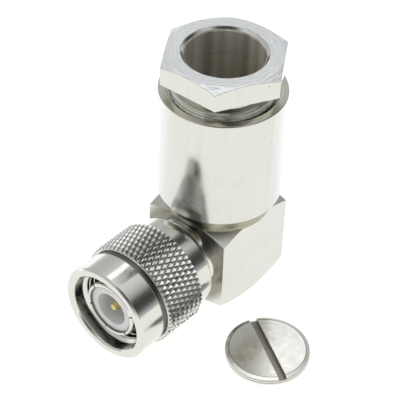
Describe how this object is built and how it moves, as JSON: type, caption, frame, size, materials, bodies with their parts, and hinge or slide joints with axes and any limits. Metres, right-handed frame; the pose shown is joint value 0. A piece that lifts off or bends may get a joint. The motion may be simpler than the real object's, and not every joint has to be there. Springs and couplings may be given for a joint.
{
  "type": "tnc connector",
  "caption": "Right-angle screw-on coaxial plug with a knurled coupling nut, a clamp nut for a 10 mm cable and a slotted access cap lying beside it.",
  "frame": {"origin": "centre of the base flat under the barrel, on the surface that the plug stands on", "axes": "+Z along the barrel and the cable, -Y out of the plug, +X towards the access cap lying beside it"},
  "size_m": [0.0315, 0.0324, 0.0393],
  "materials": {
    "nickel": "nickel plated, satin",
    "bright_nickel": "nickel plated, bright",
    "gold": "gold plated",
    "white_resin": "fluoropolymer, waxy",
    "red_rubber": "silicone rubber, matt"
  },
  "bodies": {
    "elbow": {"body": "nickel", "interface_shell": "bright_nickel", "retaining_ring": "gold", "interface_gasket": "red_rubber", "front_insulator": "white_resin", "center_pin": "gold", "braid_clamp": "bright_nickel", "cable_gasket": "red_rubber", "access_cap": "bright_nickel"},
    "coupling_nut": {"coupling_nut": "nickel"},
    "thrust_sleeve": {"thrust_sleeve": "bright_nickel"},
    "clamp_nut": {"clamp_nut": "nickel"}
  },
  "joints": [
    {"name": "coupling_nut_spin", "type": "hinge", "parent": "elbow", "child": "coupling_nut", "pos_m": [0, -0.0163, 0.00815], "axis": [0, -1, 0], "continuous": true},
    {"name": "clamp_nut_travel", "type": "slide", "parent": "elbow", "child": "thrust_sleeve", "axis": [0, 0, 1], "range_m": [-0.00241, 0.00501]},
    {"name": "clamp_nut_turn", "type": "hinge", "parent": "thrust_sleeve", "child": "clamp_nut", "pos_m": [0, 0, 0.0335], "axis": [0, 0, 1], "range_deg": [-864, 1800]}
  ],
  "couplings": [
    {"joint": "clamp_nut_travel", "follows": "clamp_nut_turn", "m_per_rad": 0.00015915}
  ]
}
